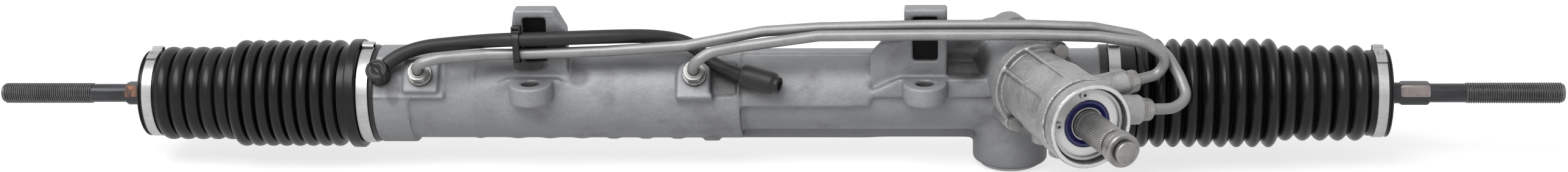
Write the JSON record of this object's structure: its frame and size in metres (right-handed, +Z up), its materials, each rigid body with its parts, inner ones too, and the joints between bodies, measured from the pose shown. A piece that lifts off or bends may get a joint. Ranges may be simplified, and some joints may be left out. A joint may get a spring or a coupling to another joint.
{
  "type": "steering rack",
  "caption": "Hydraulic rack and pinion steering gear with cast housing, valve tower, bellows boots, threaded tie rods and pressure lines.",
  "frame": {"origin": "middle of the two mounting bolt holes, on the lower face of the mounting lugs", "axes": "+X along the rack towards the pinion end, +Y away from the input shaft, +Z up along the mounting bolts"},
  "size_m": [1.058, 0.202, 0.1143],
  "materials": {
    "casting": "as cast, matt",
    "bright_casting": "blasted casting, slight sheen",
    "steel": "machined",
    "dark_steel": "forged, oiled",
    "clamp_steel": "bright strip",
    "line_steel": "plated tube",
    "zinc": "zinc plated",
    "boot_rubber": "semi matt",
    "hose_rubber": "matt",
    "seal_rubber": "dark blue",
    "black_seal": "matt",
    "black_plastic": "moulded",
    "white_plastic": "moulded",
    "bronze": "bearing bronze"
  },
  "bodies": {
    "housing": {"housing": "casting", "valve_housing": "bright_casting", "outer_bushing": "bright_casting", "outer_rack_seal": "black_seal", "bushing_ring": "steel", "bulkhead": "bright_casting", "inner_rack_seal": "black_seal", "pinion_lower_bearing": "steel", "pinion_upper_bearing": "steel", "pinion_seal": "black_seal", "shaft_bearing": "steel", "input_seal": "seal_rubber", "snap_ring": "steel", "pinion_cap": "steel", "tower_bolts": "zinc", "yoke": "bright_casting", "yoke_liner": "bronze", "yoke_spring": "steel", "yoke_plug": "bright_casting", "yoke_locknut": "steel", "left_union": "zinc", "middle_union": "zinc", "rear_union": "zinc", "front_union": "zinc", "long_line": "line_steel", "short_line": "line_steel", "tab_pad_left": "black_seal", "tab_pad_right": "black_seal", "breather_fitting": "black_plastic", "breather_hose": "hose_rubber", "hose_sleeve": "hose_rubber", "cable_tie": "black_plastic", "boot_left": "boot_rubber", "inner_clamp_left": "clamp_steel", "neck_strap_left": "black_plastic", "boot_right": "boot_rubber", "inner_clamp_right": "clamp_steel", "neck_strap_right": "black_plastic"},
    "rack": {"rack_bar": "steel", "piston": "steel", "piston_ring": "white_plastic", "lock_washer_left": "steel", "ball_socket_left": "steel", "ball_seat_left": "white_plastic", "lock_washer_right": "steel", "ball_socket_right": "steel", "ball_seat_right": "white_plastic"},
    "pinion": {"pinion": "steel", "valve_sleeve": "steel", "sleeve_rings": "white_plastic", "pinion_nut": "steel", "torsion_bar": "steel"},
    "input_shaft": {"input_shaft": "steel"},
    "tie_rod_left": {"tie_rod_left": "dark_steel", "outer_clamp_left": "clamp_steel", "support_ring_left": "black_plastic"},
    "tie_rod_right": {"tie_rod_right": "dark_steel", "outer_clamp_right": "clamp_steel", "support_ring_right": "black_plastic"}
  },
  "joints": [
    {"name": "rack_slide", "type": "slide", "parent": "housing", "child": "rack", "axis": [1, 0, 0], "range_m": [-0.095, 0.055], "deforming": ["boot_left", "boot_right"]},
    {"name": "pinion_spin", "type": "hinge", "parent": "housing", "child": "pinion", "pos_m": [0.1878, 0.034, 0.01249], "axis": [0.3907, -0.9205, 0], "range_deg": [-681, 395]},
    {"name": "valve_twist", "type": "hinge", "parent": "pinion", "child": "input_shaft", "pos_m": [0.1878, 0.034, 0.01249], "axis": [0.3907, -0.9205, 0], "range_deg": [-3.5, 3.5], "stiffness_Nm_per_rad": 100},
    {"name": "tie_rod_left_swing", "type": "hinge", "parent": "rack", "child": "tie_rod_left", "pos_m": [-0.323, 0.034, -0.006], "axis": [0, 1, 0], "range_deg": [-15, 15], "deforming": ["boot_left"]},
    {"name": "tie_rod_right_swing", "type": "hinge", "parent": "rack", "child": "tie_rod_right", "pos_m": [0.369, 0.034, -0.006], "axis": [0, 1, 0], "range_deg": [-15, 15], "deforming": ["boot_right"]}
  ],
  "couplings": [
    {"joint": "pinion_spin", "follows": "rack_slide", "rad_per_m": 125}
  ]
}
